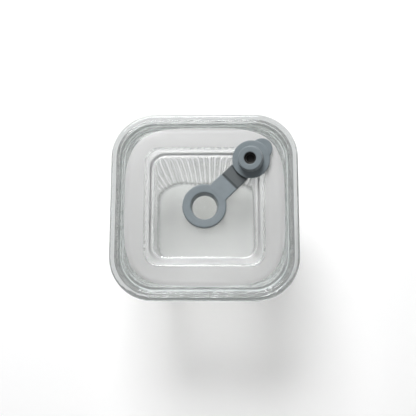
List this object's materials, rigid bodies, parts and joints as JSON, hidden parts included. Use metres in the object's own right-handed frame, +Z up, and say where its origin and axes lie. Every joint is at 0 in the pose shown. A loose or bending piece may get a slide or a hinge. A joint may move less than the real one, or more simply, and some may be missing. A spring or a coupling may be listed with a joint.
{
  "type": "lidded glass canister",
  "caption": "Square tapered reeded glass canister with a lift-off clear lid, a gasket under it and a folding silicone vent stopper.",
  "frame": {"origin": "middle of the base, on the surface that the jar stands on", "axes": "+Z up out of the mouth; the stopper's strap runs from the middle of the lid towards +X +Y"},
  "size_m": [0.109, 0.109, 0.1138],
  "materials": {
    "jar_glass": "polished pressed glass",
    "clear_plastic": "clear polished rim and window, frosted top between them",
    "clear_silicone": "translucent satin",
    "grey_silicone": "satin"
  },
  "bodies": {
    "jar": {"glass_jar": "jar_glass"},
    "lid": {"lid": "clear_plastic", "lid_gasket": "clear_silicone", "vent_grommet": "grey_silicone", "vent_web": "grey_silicone"},
    "plug": {"vent_plug": "grey_silicone"}
  },
  "joints": [
    {"name": "lid_lift", "type": "slide", "parent": "jar", "child": "lid", "axis": [0, 0, 1], "range_m": [0, 0.05]},
    {"name": "plug_fold", "type": "hinge", "parent": "lid", "child": "plug", "pos_m": [0.01358, 0.01358, 0.1031], "axis": [0.7071, -0.7071, 0], "range_deg": [0, 169], "deforming": ["vent_web"]}
  ]
}
